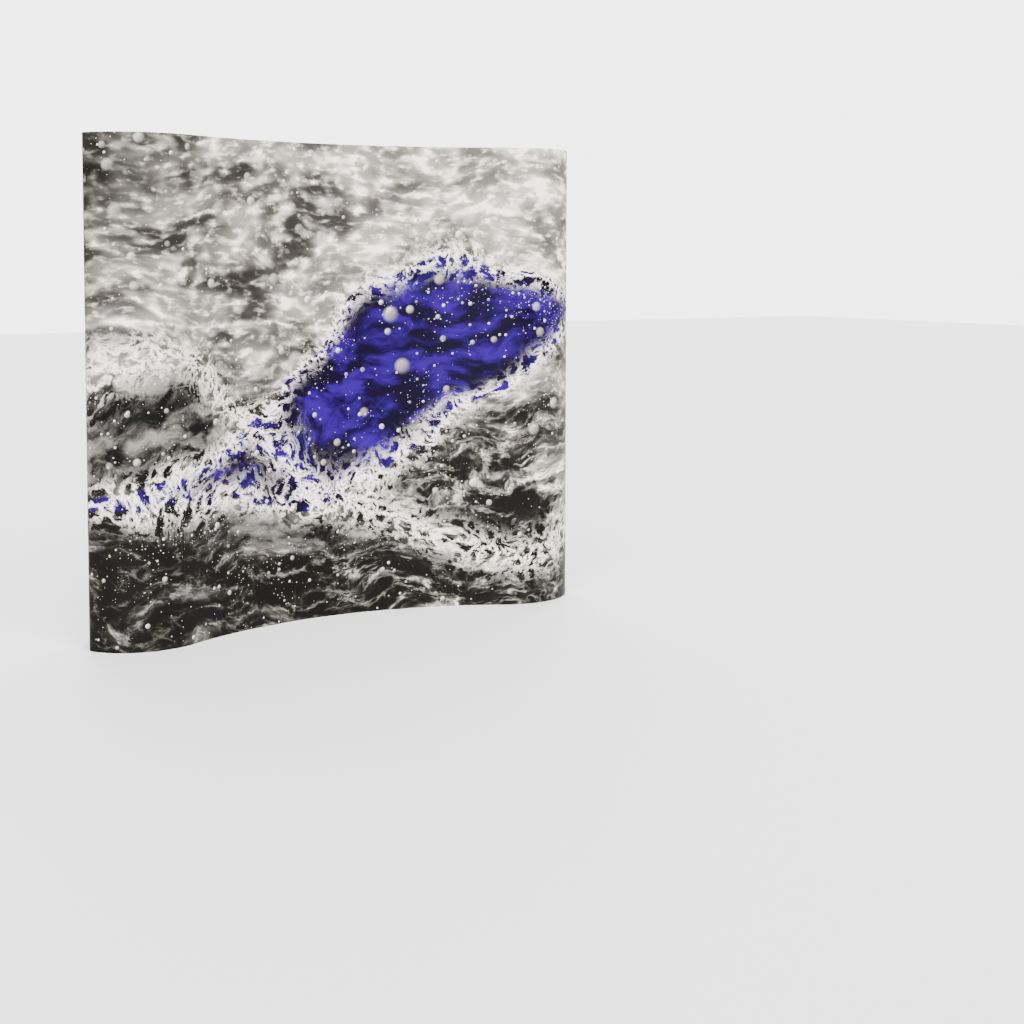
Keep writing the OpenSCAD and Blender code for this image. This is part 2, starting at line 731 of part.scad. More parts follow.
end_panel_right();
mural_center_fixings();
side_fixings(-1);  // mural_left_fixings
side_fixings(1);  // mural_right_fixings
end_fixings(-1);  // end_panel_left_fixings
end_fixings(1);  // end_panel_right_fixings
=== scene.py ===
# Looks of a curved pop-up display backwall: printed graphics that wrap round a folding lattice
# of tubes and hubs. Metres; Z is up, the print faces -Y, and the wall's width runs along X.
import bpy
import bmesh
import math
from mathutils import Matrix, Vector


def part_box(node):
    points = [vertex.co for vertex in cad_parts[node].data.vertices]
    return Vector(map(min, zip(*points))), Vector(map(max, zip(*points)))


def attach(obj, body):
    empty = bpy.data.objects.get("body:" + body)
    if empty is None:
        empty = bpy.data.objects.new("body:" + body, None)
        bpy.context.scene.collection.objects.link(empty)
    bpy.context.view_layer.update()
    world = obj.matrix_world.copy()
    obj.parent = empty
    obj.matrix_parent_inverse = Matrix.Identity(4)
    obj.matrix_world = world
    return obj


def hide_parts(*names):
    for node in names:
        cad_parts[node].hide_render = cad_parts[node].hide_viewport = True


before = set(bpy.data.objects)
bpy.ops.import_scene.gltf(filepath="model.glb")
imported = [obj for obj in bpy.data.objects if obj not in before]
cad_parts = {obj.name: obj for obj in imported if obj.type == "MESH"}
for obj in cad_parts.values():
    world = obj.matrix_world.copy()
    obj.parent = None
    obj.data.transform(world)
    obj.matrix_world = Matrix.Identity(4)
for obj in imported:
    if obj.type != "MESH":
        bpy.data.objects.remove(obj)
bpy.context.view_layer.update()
scene = bpy.context.scene

# ---------------------------------------------------------------- camera
# A studio camera at eye height, in front of the wall and to its left, with a long lens. A
# small tilt takes the place of part of the shift that would keep the uprights parallel.
CAMERA_AT = Vector((-3.2404, -6.8949, 1.7124))
CAMERA_HEADING = math.radians(59.925)        # from +X towards +Y
CAMERA_TILT = math.radians(3.559)            # down from level
SENSOR = 36.0                                # mm
LENS = 55.64                                 # mm
SHIFT_ACROSS, SHIFT_UP = 0.0432, -0.15
SEES_TO = 100                                # metres

camera = bpy.data.objects.new("camera", bpy.data.cameras.new("camera"))
scene.collection.objects.link(camera)
scene.camera = camera
camera.data.sensor_width = SENSOR
camera.data.lens = LENS
camera.data.shift_x, camera.data.shift_y = SHIFT_ACROSS, SHIFT_UP
camera.data.clip_end = SEES_TO
camera.location = CAMERA_AT
looking = Vector((math.cos(CAMERA_HEADING) * math.cos(CAMERA_TILT),
                  math.sin(CAMERA_HEADING) * math.cos(CAMERA_TILT), -math.sin(CAMERA_TILT)))
camera.rotation_mode = "QUATERNION"
camera.rotation_quaternion = looking.to_track_quat("-Z", "Y")


# ---------------------------------------------------------------- studio
# A pale floor that runs out of sight, white studio walls, and soft light from two broad
# diffusers, the stronger one in front of the wall and to its left.
FLOOR_SIDE = 60.0
FLOOR_TONE = (0.86, 0.86, 0.855)
WALLS_SEEN, WALLS_LIGHT = 4.6, 0.6           # the camera sees the walls brighter than they light


def new_material(name, colour=(0.5, 0.5, 0.5), roughness=0.5, metallic=0.0, specular=0.5):
    """A material with one shader, whose plain values are set on the shader itself."""
    made = bpy.data.materials.new(name)
    made.use_nodes = True
    shader = made.node_tree.nodes["Principled BSDF"]
    shader.inputs["Base Color"].default_value = (*colour, 1)
    shader.inputs["Roughness"].default_value = roughness
    shader.inputs["Metallic"].default_value = metallic
    shader.inputs["Specular IOR Level"].default_value = specular
    return made, made.node_tree, shader


def new_piece(name, shape, materials):
    """Turns a finished bmesh into an object at the origin."""
    mesh = bpy.data.meshes.new(name)
    shape.to_mesh(mesh)
    shape.free()
    piece = bpy.data.objects.new(name, mesh)
    scene.collection.objects.link(piece)
    for material in materials:
        mesh.materials.append(material)
    return piece


def soft_sun(name, toward, spread, strength):
    """Light from a broad diffuser, so far off that it falls evenly over the floor and wall."""
    lamp = bpy.data.lights.new(name, "SUN")
    lamp.energy, lamp.angle = strength, math.radians(spread)
    holder = bpy.data.objects.new(name, lamp)
    holder.rotation_mode = "QUATERNION"
    holder.rotation_quaternion = Vector(toward).to_track_quat("-Z", "Y")
    scene.collection.objects.link(holder)


floor_shape = bmesh.new()
bmesh.ops.create_grid(floor_shape, x_segments=1, y_segments=1, size=FLOOR_SIDE / 2)
floor_paint, _, _ = new_material("floor_paint", FLOOR_TONE, roughness=0.6)
floor = new_piece("studio_floor", floor_shape, [floor_paint])

world = bpy.data.worlds.new("studio")
scene.world = world
world.use_nodes = True
walls = world.node_tree.nodes["Background"]
walls.inputs["Color"].default_value = (1, 1, 1, 1)
seen = world.node_tree.nodes.new("ShaderNodeLightPath")
level = world.node_tree.nodes.new("ShaderNodeMapRange")
level.inputs["To Min"].default_value = WALLS_LIGHT
level.inputs["To Max"].default_value = WALLS_SEEN
world.node_tree.links.new(seen.outputs["Is Camera Ray"], level.inputs["Value"])
world.node_tree.links.new(level.outputs["Result"], walls.inputs["Strength"])
soft_sun("diffuser_front", toward=(0.30, 0.85, -0.75), spread=70, strength=10.5)
soft_sun("diffuser_back", toward=(-0.45, -0.80, -0.60), spread=70, strength=4.8)


# ---------------------------------------------------------------- hubs
# Moulded black nylon discs with a slot for each tube, 16 in front and 16 behind. Their moulds
# leave a fine spark-eroded grain, softened edges, and rims that rub pale when the frame folds.
HUB_EASE = 0.0005                            # radius of a moulded edge
HUB_BLACK, HUB_RUBBED = (0.0060, 0.0060, 0.0065), (0.036, 0.036, 0.038)
DUST_GREY = (0.36, 0.34, 0.31)


class Ink:
    """A value that changes over a surface, worked out by math nodes in one node tree."""

    def __init__(self, tree, socket):
        self.tree, self.socket = tree, socket

    def worked(self, operation, *others):
        """What one math node makes of this value, and of others or plain numbers."""
        step = self.tree.nodes.new("ShaderNodeMath")
        step.operation = operation
        for slot, value in zip(step.inputs, (self, *others)):
            if isinstance(value, Ink):
                self.tree.links.new(value.socket, slot)
            else:
                slot.default_value = value
        return Ink(self.tree, step.outputs[0])

    def __add__(self, other):
        return self.worked("ADD", other)

    def __sub__(self, other):
        return self.worked("SUBTRACT", other)

    def __rsub__(self, other):
        return self.worked("MULTIPLY_ADD", -1, other)

    def __mul__(self, other):
        return self.worked("MULTIPLY", other)

    def __truediv__(self, other):
        return self.worked("DIVIDE", other)

    __radd__, __rmul__ = __add__, __mul__

    def sine(self):
        return self.worked("SINE")

    def hump(self, middle, reach):
        """1 at the middle, and nearly 0 beyond the reach on both sides."""
        away = (self - middle) / reach
        return (away * away * -1).worked("EXPONENT")

    def ramp(self, low, high):
        """0 at low, 1 at high, with a smooth step between; low may be above high."""
        step = self.tree.nodes.new("ShaderNodeMapRange")
        step.interpolation_type = "SMOOTHSTEP"
        self.tree.links.new(self.socket, step.inputs["Value"])
        for name, value in (("From Min", low), ("From Max", high)):
            if isinstance(value, Ink):
                self.tree.links.new(value.socket, step.inputs[name])
            else:
                step.inputs[name].default_value = value
        return Ink(self.tree, step.outputs["Result"])

    def over(self, below, mask):
        """This value where the mask is 1, and the one below where it is 0."""
        return below + (self - below) * mask


RIDGED = "RIDGED_MULTIFRACTAL"
RIDGE_OFFSET, RIDGE_GAIN = 0.9, 2.0


def cloud(tree, at, scale, detail, roughness=0.6, kind="FBM"):
    """Noise over a point's place, as a value and as a vector."""
    made = tree.nodes.new("ShaderNodeTexNoise")
    made.noise_type = kind
    made.normalize = kind == "FBM"
    tree.links.new(at, made.inputs["Vector"])
    for name, value in (("Scale", scale), ("Detail", detail), ("Roughness", roughness)):
        if isinstance(value, Ink):
            tree.links.new(value.socket, made.inputs[name])
        else:
            made.inputs[name].default_value = value
    if kind == RIDGED:
        made.inputs["Offset"].default_value = RIDGE_OFFSET
        made.inputs["Gain"].default_value = RIDGE_GAIN
    return Ink(tree, made.outputs["Fac"]), made.outputs["Color"]


def parts_of(tree, at):
    """The three parts of a place, a direction or a colour."""
    made = tree.nodes.new("ShaderNodeSeparateXYZ")
    tree.links.new(at, made.inputs[0])
    return [Ink(tree, out) for out in made.outputs]


def painted(tree, mask, under, over):
    """Lays one colour over another by a mask; each colour is a plain value or a socket."""
    made = tree.nodes.new("ShaderNodeMix")
    made.data_type = "RGBA"
    made.clamp_factor = True
    slots = [slot for slot in made.inputs if slot.enabled]
    tree.links.new(mask.socket, slots[0])
    for slot, colour in zip(slots[1:], (under, over)):
        if isinstance(colour, bpy.types.NodeSocket):
            tree.links.new(colour, slot)
        else:
            slot.default_value = (*colour, 1)
    return next(out for out in made.outputs if out.enabled)


def new_group(name, takes, gives):
    """A shader node group with named inputs and outputs, and its two end nodes."""
    kinds = {"vector": "NodeSocketVector", "colour": "NodeSocketColor", "value": "NodeSocketFloat"}
    group = bpy.data.node_groups.new(name, "ShaderNodeTree")
    for label, kind in takes:
        group.interface.new_socket(label, in_out="INPUT", socket_type=kinds[kind])
    for label, kind in gives:
        group.interface.new_socket(label, in_out="OUTPUT", socket_type=kinds[kind])
    return group, group.nodes.new("NodeGroupInput"), group.nodes.new("NodeGroupOutput")


# The skin of a moulding: slow blotches, a fine grain, edges rubbed pale, and settled dust
BLOTCH_SHOWS = 0.18
BLOTCH_ROUGHENS, RUB_POLISHES, DUST_ROUGHENS = 0.16, 0.14, 0.25
RUB_RELIEF = 0.4                             # beside the grain's relief
GRAIN_DEPTH = 0.0002                         # metres

moulded, moulded_in, moulded_out = new_group(
    "moulded_skin",
    (("Place", "vector"), ("Colour", "colour"), ("Rubbed Colour", "colour"), ("Rubbed", "value"),
     ("Grain Per Metre", "value"), ("Smoothness", "value"), ("Dust", "value")),
    (("Colour", "colour"), ("Roughness", "value"), ("Height", "value")))
skin_at = moulded_in.outputs["Place"]
blotch, _ = cloud(moulded, skin_at, scale=38, detail=4)
rubs, _ = cloud(moulded, skin_at, scale=210, detail=5, roughness=0.7)
grain, _ = cloud(moulded, skin_at, Ink(moulded, moulded_in.outputs["Grain Per Metre"]), detail=2,
                 roughness=0.5)
lint, _ = cloud(moulded, skin_at, scale=95, detail=6, roughness=0.7)
way_up = moulded.nodes.new("ShaderNodeNewGeometry")
facing_up = parts_of(moulded, way_up.outputs["Normal"])[2].ramp(0.2, 1.0)
rubbed = Ink(moulded, moulded_in.outputs["Rubbed"]) * rubs.ramp(0.38, 0.62)
dust = facing_up * lint.ramp(0.42, 0.72) * Ink(moulded, moulded_in.outputs["Dust"])
toned = painted(moulded, BLOTCH_SHOWS * blotch.ramp(0.3, 0.7), moulded_in.outputs["Colour"],
                moulded_in.outputs["Rubbed Colour"])
toned = painted(moulded, rubbed, toned, moulded_in.outputs["Rubbed Colour"])
toned = painted(moulded, dust, toned, DUST_GREY)
skin_rough = 1 - Ink(moulded, moulded_in.outputs["Smoothness"])
skin_rough = skin_rough + BLOTCH_ROUGHENS * (blotch - 0.5) - RUB_POLISHES * rubbed
skin_rough = skin_rough + DUST_ROUGHENS * dust
moulded.links.new(toned, moulded_out.inputs["Colour"])
moulded.links.new(skin_rough.socket, moulded_out.inputs["Roughness"])
moulded.links.new((grain + RUB_RELIEF * rubs).socket, moulded_out.inputs["Height"])


def moulded_material(name, colour, rubbed_colour, smoothness, grain_per_metre=1700, dust=0.12,
                     bump=0.10, sheen=0.32):
    """A material with the moulded skin over it, for a piece whose edges carry "rubbed"."""
    material, tree, shader = new_material(name, colour, roughness=1 - smoothness, specular=sheen)
    place = tree.nodes.new("ShaderNodeTexCoord")
    edge = tree.nodes.new("ShaderNodeAttribute")
    edge.attribute_name = "rubbed"
    skin = tree.nodes.new("ShaderNodeGroup")
    skin.node_tree = moulded
    tree.links.new(place.outputs["Object"], skin.inputs["Place"])
    tree.links.new(edge.outputs["Fac"], skin.inputs["Rubbed"])
    skin.inputs["Colour"].default_value = (*colour, 1)
    skin.inputs["Rubbed Colour"].default_value = (*rubbed_colour, 1)
    skin.inputs["Grain Per Metre"].default_value = grain_per_metre
    skin.inputs["Smoothness"].default_value = smoothness
    skin.inputs["Dust"].default_value = dust
    relief = tree.nodes.new("ShaderNodeBump")
    relief.inputs["Strength"].default_value = bump
    relief.inputs["Distance"].default_value = GRAIN_DEPTH
    tree.links.new(skin.outputs["Height"], relief.inputs["Height"])
    tree.links.new(skin.outputs["Colour"], shader.inputs["Base Color"])
    tree.links.new(skin.outputs["Roughness"], shader.inputs["Roughness"])
    tree.links.new(relief.outputs["Normal"], shader.inputs["Normal"])
    return material


SAME_PLACE = 1e-6                            # corners this close are one, in metres
FLAT_WITHIN = math.radians(0.2)              # faces this nearly level are one
SHARP = math.radians(32)                     # edges sharper than this stay crisp, or are eased


def welded(node):
    """A closed copy of a CAD node's mesh."""
    shape = bmesh.new()
    shape.from_mesh(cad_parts[node].data)
    bmesh.ops.remove_doubles(shape, verts=shape.verts, dist=SAME_PLACE)
    return shape


def shaded(shape):
    """Shades a shape smooth, with crisp edges where it is sharp."""
    for face in shape.faces:
        face.smooth = True
    for edge in shape.edges:
        edge.smooth = edge.calc_face_angle(0) < SHARP


def fitted(name, shape, materials, node, body):
    """Puts a finished shape in a CAD node's place, on the body that it moves with."""
    piece = new_piece(name, shape, materials)
    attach(piece, body)
    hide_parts(node)


def eased_piece(name, node, body, material, ease, segments=2):
    """Fits a node's own shape with rounded edges; their faces are marked as "rubbed"."""
    shape = welded(node)
    bmesh.ops.dissolve_limit(shape, angle_limit=FLAT_WITHIN, verts=shape.verts, edges=shape.edges)
    rubbed_edge = shape.faces.layers.float.new("rubbed")
    sharp = [edge for edge in shape.edges if edge.calc_face_angle(0) > SHARP]
    cut = bmesh.ops.bevel(shape, geom=sharp, offset=ease, offset_type="OFFSET", affect="EDGES",
                          segments=segments, profile=0.5, material=-1, clamp_overlap=False)
    for face in cut["faces"]:
        face[rubbed_edge] = 1.0
    shaded(shape)
    fitted(name, shape, [material], node, body)


hub_nylon = moulded_material("hub_nylon", HUB_BLACK, HUB_RUBBED, smoothness=0.50)
COLUMNS = ROWS = range(1, 5)
for column in COLUMNS:
    for side in ("front", "rear"):
        eased_piece(f"{side}_hub_mouldings_{column}", f"{side}_hubs_{column}", "frame",
                    hub_nylon, HUB_EASE)


# ---------------------------------------------------------------- lattice tubes
# Forty-eight drawn aluminium tubes, satin anodised. The drawing leaves fine lines along each
# tube, and folding the frame leaves faint rub marks across it.
TUBE_SILVER, TUBE_MARKED = (0.47, 0.48, 0.495), (0.25, 0.26, 0.27)
TUBE_END = 0.9                               # share of a tube's reach where its end begins

# The skin of bare metal, over a place whose first axis runs along its lines
LINES_PER_METRE = (3, 900, 900)              # along and across the lines
RUBS_PER_METRE = (420, 30, 30)
LINES_SHOW = 0.22
TONE_ROUGHENS, LINES_ROUGHEN, RUBS_ROUGHEN = 0.16, 0.12, 0.15
LINE_RELIEF, LINE_DEPTH = 0.06, 0.0001       # strength, and depth in metres

drawn, drawn_in, drawn_out = new_group(
    "drawn_metal", (("Place", "vector"), ("Colour", "colour"), ("Marked Colour", "colour"),
                    ("Smoothness", "value"), ("Marks", "value")),
    (("Colour", "colour"), ("Roughness", "value"), ("Height", "value")))


def stretched(tree, at, by):
    """A point's place, with each of its three parts multiplied by a number."""
    made = tree.nodes.new("ShaderNodeVectorMath")
    made.operation = "MULTIPLY"
    tree.links.new(at, made.inputs[0])
    made.inputs[1].default_value = by
    return made.outputs[0]


metal_at = drawn_in.outputs["Place"]
lines, _ = cloud(drawn, stretched(drawn, metal_at, LINES_PER_METRE), scale=1, detail=4)
tone, _ = cloud(drawn, metal_at, scale=9, detail=4)
rub_marks, _ = cloud(drawn, stretched(drawn, metal_at, RUBS_PER_METRE), scale=1, detail=5)
marked = rub_marks.ramp(0.60, 0.78) * Ink(drawn, drawn_in.outputs["Marks"])
metal_tone = painted(drawn, marked + LINES_SHOW * lines, drawn_in.outputs["Colour"],
                     drawn_in.outputs["Marked Colour"])
metal_rough = 1 - Ink(drawn, drawn_in.outputs["Smoothness"]) + TONE_ROUGHENS * (tone - 0.5)
metal_rough = metal_rough + LINES_ROUGHEN * (lines - 0.5) + RUBS_ROUGHEN * marked
drawn.links.new(metal_tone, drawn_out.inputs["Colour"])
drawn.links.new(metal_rough.socket, drawn_out.inputs["Roughness"])
drawn.links.new(lines.socket, drawn_out.inputs["Height"])


def metal_material(name, colour, marked_colour, smoothness, marks, lengthwise=None,
                   turn=(0, 0, 0)):
    """Bare metal whose lines follow a UV map, or an axis of the object turned to be the first."""
    material, tree, shader = new_material(name, colour, roughness=1 - smoothness, metallic=1.0)
    if lengthwise:
        place = tree.nodes.new("ShaderNodeUVMap")
        place.uv_map = lengthwise
        where = place.outputs["UV"]
    else:
        place = tree.nodes.new("ShaderNodeTexCoord")
        turned = tree.nodes.new("ShaderNodeMapping")
        turned.inputs["Rotation"].default_value = turn
        tree.links.new(place.outputs["Object"], turned.inputs["Vector"])
        where = turned.outputs["Vector"]
    skin = tree.nodes.new("ShaderNodeGroup")
    skin.node_tree = drawn
    tree.links.new(where, skin.inputs["Place"])
    skin.inputs["Colour"].default_value = (*colour, 1)
    skin.inputs["Marked Colour"].default_value = (*marked_colour, 1)
    skin.inputs["Smoothness"].default_value = smoothness
    skin.inputs["Marks"].default_value = marks
    relief = tree.nodes.new("ShaderNodeBump")
    relief.inputs["Strength"].default_value = LINE_RELIEF
    relief.inputs["Distance"].default_value = LINE_DEPTH
    tree.links.new(skin.outputs["Height"], relief.inputs["Height"])
    tree.links.new(skin.outputs["Colour"], shader.inputs["Base Color"])
    tree.links.new(skin.outputs["Roughness"], shader.inputs["Roughness"])
    tree.links.new(relief.outputs["Normal"], shader.inputs["Normal"])
    return material


def separate_forms(shape):
    """The separate closed forms of a mesh, each as a list of its corners."""
    left = set(shape.verts)
    while left:
        found, waiting = set(), [left.pop()]
        while waiting:
            corner = waiting.pop()
            found.add(corner)
            for edge in corner.link_edges:
                other = edge.other_vert(corner)
                if other in left:
                    left.discard(other)
                    waiting.append(other)
        yield list(found)


def long_axis(corners):
    """Middle of a long straight form and the direction that it runs in."""
    middle = sum((corner.co for corner in corners), Vector()) / len(corners)
    first = max(corners, key=lambda corner: (corner.co - middle).length).co - middle
    reach = first.length
    ends = [Vector(), Vector()]
    counts = [0, 0]
    for corner in corners:
        along_it = (corner.co - middle).dot(first) / reach
        if abs(along_it) > TUBE_END * reach:
            ends[along_it > 0] += corner.co
            counts[along_it > 0] += 1
    return middle, (ends[1] / counts[1] - ends[0] / counts[0]).normalized()


def lengthwise_map(shape):
    """Adds the UV map "lengthwise": metres along each tube, and metres round it."""
    sheet = shape.loops.layers.uv.new("lengthwise")
    for corners in separate_forms(shape):
        middle, axis = long_axis(corners)
        side_way = axis.orthogonal().normalized()
        other_way = axis.cross(side_way)
        for face in {face for corner in corners for face in corner.link_faces}:
            mid = face.calc_center_median() - middle
            face_turn = math.atan2(mid.dot(other_way), mid.dot(side_way))
            for loop in face.loops:
                out = loop.vert.co - middle
                turn = math.atan2(out.dot(other_way), out.dot(side_way))
                turn += math.tau * round((face_turn - turn) / math.tau)
                radius = (out - axis * out.dot(axis)).length
                loop[sheet].uv = (out.dot(axis), turn * radius)


tube_aluminium = metal_material("drawn_tube", TUBE_SILVER, TUBE_MARKED, smoothness=0.64,
                                marks=0.35, lengthwise="lengthwise")
for number in ROWS:
    for run in ("row", "column"):
        tubes = welded(f"{run}_tubes_{number}")
        lengthwise_map(tubes)
        shaded(tubes)
        fitted(f"{run}_tube_set_{number}", tubes, [tube_aluminium], f"{run}_tubes_{number}",
               "frame")


# ---------------------------------------------------------------- tube ends
# Black nylon plugs pressed into both ends of every tube, each with a collar and a flat
# tongue whose eye turns on a pin in a hub's slot.
END_EASE = 0.0004
END_BLACK = (0.0075, 0.0075, 0.008)
end_nylon = moulded_material("end_nylon", END_BLACK, HUB_RUBBED, smoothness=0.46)
for run in ("row", "column"):
    eased_piece(f"{run}_tube_plugs", f"{run}_tube_ends", "frame", end_nylon,
                END_EASE)


# ---------------------------------------------------------------- rivets and pins
# Zinc-plated steel: a rivet with a washer where two tubes cross, a pin through each tube's
# eye, and the two pins of each locking arm.
ZINC, ZINC_DULL = (0.46, 0.47, 0.46), (0.26, 0.27, 0.26)
RIVET_EASE, PIN_EASE = 0.0005, 0.0004
zinc_steel = metal_material("zinc_steel", ZINC, ZINC_DULL, smoothness=0.66, marks=0.6)
eased_piece("crossing_rivets", "cross_rivets", "frame", zinc_steel, RIVET_EASE,
            segments=3)
eased_piece("locking_arm_pins", "arm_pins", "frame", zinc_steel, PIN_EASE)
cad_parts["hub_pins"].material_slots[0].material = zinc_steel


# ---------------------------------------------------------------- locking arms
# Sixteen grey glass-filled nylon levers, I-shaped in section, with an eye at the front hub
# and an open jaw that hooks on the rear hub's catch pin.
ARM_EASE = 0.0007
ARM_GREY, ARM_RUBBED = (0.048, 0.051, 0.057), (0.13, 0.133, 0.14)
arm_nylon = moulded_material("arm_nylon", ARM_GREY, ARM_RUBBED, smoothness=0.44,
                             grain_per_metre=1200)
for column in COLUMNS:
    for row in ROWS:
        eased_piece(f"arm_lever_{column}_{row}", f"locking_arm_{column}_{row}",
                    f"locking_arm_{column}_{row}", arm_nylon, ARM_EASE)


# ---------------------------------------------------------------- feet
# Saddles of moulded black rubber that the bottom hubs' rims stand in, dull all over and a
# little dusty where they meet the floor.
FOOT_EASE = 0.0009
FOOT_BLACK, FOOT_RUBBED = (0.012, 0.0115, 0.011), (0.040, 0.038, 0.036)
foot_rubber = moulded_material("foot_rubber", FOOT_BLACK, FOOT_RUBBED, smoothness=0.16,
                               grain_per_metre=900, dust=0.35, bump=0.2)
eased_piece("foot_saddles", "feet", "frame", foot_rubber, FOOT_EASE)


# ---------------------------------------------------------------- brackets
# Black nylon blocks on the outer hubs' faces, cored out, each with a T-shaped clip that the
# bar's lips close round.
BRACKET_EASE = 0.0005
BRACKET_BLACK = (0.0065, 0.0065, 0.007)
bracket_nylon = moulded_material("bracket_nylon", BRACKET_BLACK, HUB_RUBBED, smoothness=0.48)
for side in ("front", "rear"):
    eased_piece(f"{side}_bracket_blocks", f"{side}_bar_brackets", "frame",
                bracket_nylon, BRACKET_EASE)


# ---------------------------------------------------------------- channel bars
# Extruded aluminium channels in three lengths, satin anodised, with die lines from top to
# bottom. A steel joiner inside spans each joint, and a nylon cap closes the top.
BAR_EASE = 0.00025
BAR_SILVER, BAR_MARKED = (0.46, 0.47, 0.485), (0.27, 0.28, 0.29)
LINES_UPRIGHT = (0, math.radians(90), 0)
bar_aluminium = metal_material("extruded_bar", BAR_SILVER, BAR_MARKED, smoothness=0.60,
                               marks=0.2, turn=LINES_UPRIGHT)
for place in ("front_1", "front_2", "front_3", "front_4", "rear_left", "rear_right"):
    eased_piece(f"bar_rail_{place}", f"channel_bar_{place}", "frame",
                bar_aluminium, BAR_EASE)
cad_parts["bar_joiners"].material_slots[0].material = zinc_steel
eased_piece("bar_cap_plugs", "bar_caps", "frame", bracket_nylon, BRACKET_EASE)


# ---------------------------------------------------------------- magnetic strip and tape
# Dark flexible magnet on the bars' faces and on the backs of the graphics, slit from wide
# rolls: matt, with faint lines along its length. The tabs that hang on the caps are nylon.
STRIP_BROWN, STRIP_RUBBED = (0.014, 0.0125, 0.0115), (0.034, 0.032, 0.029)
magnet_strip = moulded_material("magnet_strip", STRIP_BROWN, STRIP_RUBBED, smoothness=0.14,
                                grain_per_metre=2400, dust=0.05, bump=0.08)
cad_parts["bar_magnets"].material_slots[0].material = magnet_strip
TAPE_EASE = 0.0002
TAPE_BLACK, TAPE_RUBBED = (0.010, 0.0095, 0.009), (0.032, 0.031, 0.029)
tape_black = moulded_material("tape_black", TAPE_BLACK, TAPE_RUBBED, smoothness=0.26,
                              grain_per_metre=2000, dust=0.05, bump=0.06)
for panel in ("mural_center", "mural_left", "mural_right", "end_panel_left", "end_panel_right"):
    eased_piece(f"tape_and_tabs_{panel}", f"{panel}_fixings", panel, tape_black,
                TAPE_EASE)


# ---------------------------------------------------------------- graphics
# Five stiff laminated films, butted edge to edge, that carry one print round the whole front.
# Each hangs by hooked tabs on the bars' caps and is held flat by magnets down its edges.
FILM = 0.001                                 # thickness of the laminate
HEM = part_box("mural_center")[0].z
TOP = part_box("mural_center")[1].z
MID_HEIGHT = (HEM + TOP) / 2                 # parts a film's top from its hem
SEAM = 0.0006                                # gap between two films
HOLLOW_RADIUS = 1.671                        # middle of the front
LANDING = 0.0126                             # flat part of a film on an outer bar
BULGE_RADIUS, BULGE_SWEEP = 0.292, math.radians(57)
CORNER_RADIUS = 0.040                        # tight bend at each end of the wall
RETURN_RADIUS = 0.200                        # last bend before the rear bar
BAR_WIDTH = 0.036
REAR_LAND = math.radians(123.3)              # direction of the film on the rear bar
ARC_STEP = math.radians(1)

seam_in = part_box("mural_center")[1].x + SEAM / 2
seam_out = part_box("mural_right")[1].x + SEAM / 2
back_of_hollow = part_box("mural_center")[1].y - FILM
front_of_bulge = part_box("mural_right")[0].y
# The hollow and the flare beyond it share one tangent, so its angle follows from their reach
reach = seam_out - LANDING
drop = back_of_hollow - front_of_bulge
FRONT_SWEEP = 2 * math.atan2(drop, reach)
FLARE_RADIUS = reach / math.sin(FRONT_SWEEP) - HOLLOW_RADIUS
seam_angle = math.asin(seam_in / HOLLOW_RADIUS)


def left_of(direction):
    """A level step of one metre to the left of a direction."""
    return Vector((-math.sin(direction), math.cos(direction), 0))


def along(direction):
    """A level step of one metre in a direction, which is an angle from +X towards +Y."""
    return Vector((math.cos(direction), math.sin(direction), 0))


def is_top(corner):
    return corner.co.z > MID_HEIGHT


def is_upright(edge):
    return is_top(edge.verts[0]) != is_top(edge.verts[1])


class FilmPath:
    """A vertical strip of film, grown from its first edge by straights and bends."""

    def __init__(self, place, direction):
        self.shape = bmesh.new()
        low = self.shape.verts.new((place.x, place.y, HEM))
        high = self.shape.verts.new((place.x, place.y, TOP))
        self.edge = self.shape.edges.new((low, high))
        self.first = self.edge
        self.place = Vector((place.x, place.y, 0))
        self.direction = self.start_direction = direction

    def grown(self, geometry):
        """Goes on from the upright edge that an operator has just made."""
        self.edge = next(g for g in geometry
                         if isinstance(g, bmesh.types.BMEdge) and is_upright(g))

    def straight(self, length):
        step = along(self.direction) * length
        found = bmesh.ops.extrude_edge_only(self.shape, edges=[self.edge])["geom"]
        corners = [g for g in found if isinstance(g, bmesh.types.BMVert)]
        bmesh.ops.translate(self.shape, verts=corners, vec=step)
        self.grown(found)
        self.place += step

    def bend(self, radius, turn):
        side = math.copysign(1, turn)
        eye = self.place + left_of(self.direction) * radius * side
        found = bmesh.ops.spin(
            self.shape, geom=[self.edge, *self.edge.verts], cent=eye, axis=(0, 0, 1), angle=turn,
            steps=max(2, math.ceil(abs(turn) / ARC_STEP)), use_merge=False, use_duplicate=False)
        self.grown(found["geom_last"])
        self.direction += turn
        self.place = eye - left_of(self.direction) * radius * side

    def lay_print(self, start):
        """Unrolls the film flat for the print: u along the wall, v up, both in metres."""
        edge, face, length = self.first, None, start
        along_film = {corner: start for corner in edge.verts}
        while ahead := [f for f in edge.link_faces if f is not face]:
            face = ahead[0]
            following = next(e for e in face.edges if e is not edge and is_upright(e))
            foot, next_foot = (min(e.verts, key=is_top).co.xy for e in (edge, following))
            length += (next_foot - foot).length
            edge = following
            along_film.update({corner: length for corner in edge.verts})
        sheet = self.shape.loops.layers.uv.new("print")
        for face in self.shape.faces:
            for loop in face.loops:
                loop[sheet].uv = (along_film[loop.vert], loop.vert.co.z)
        return length


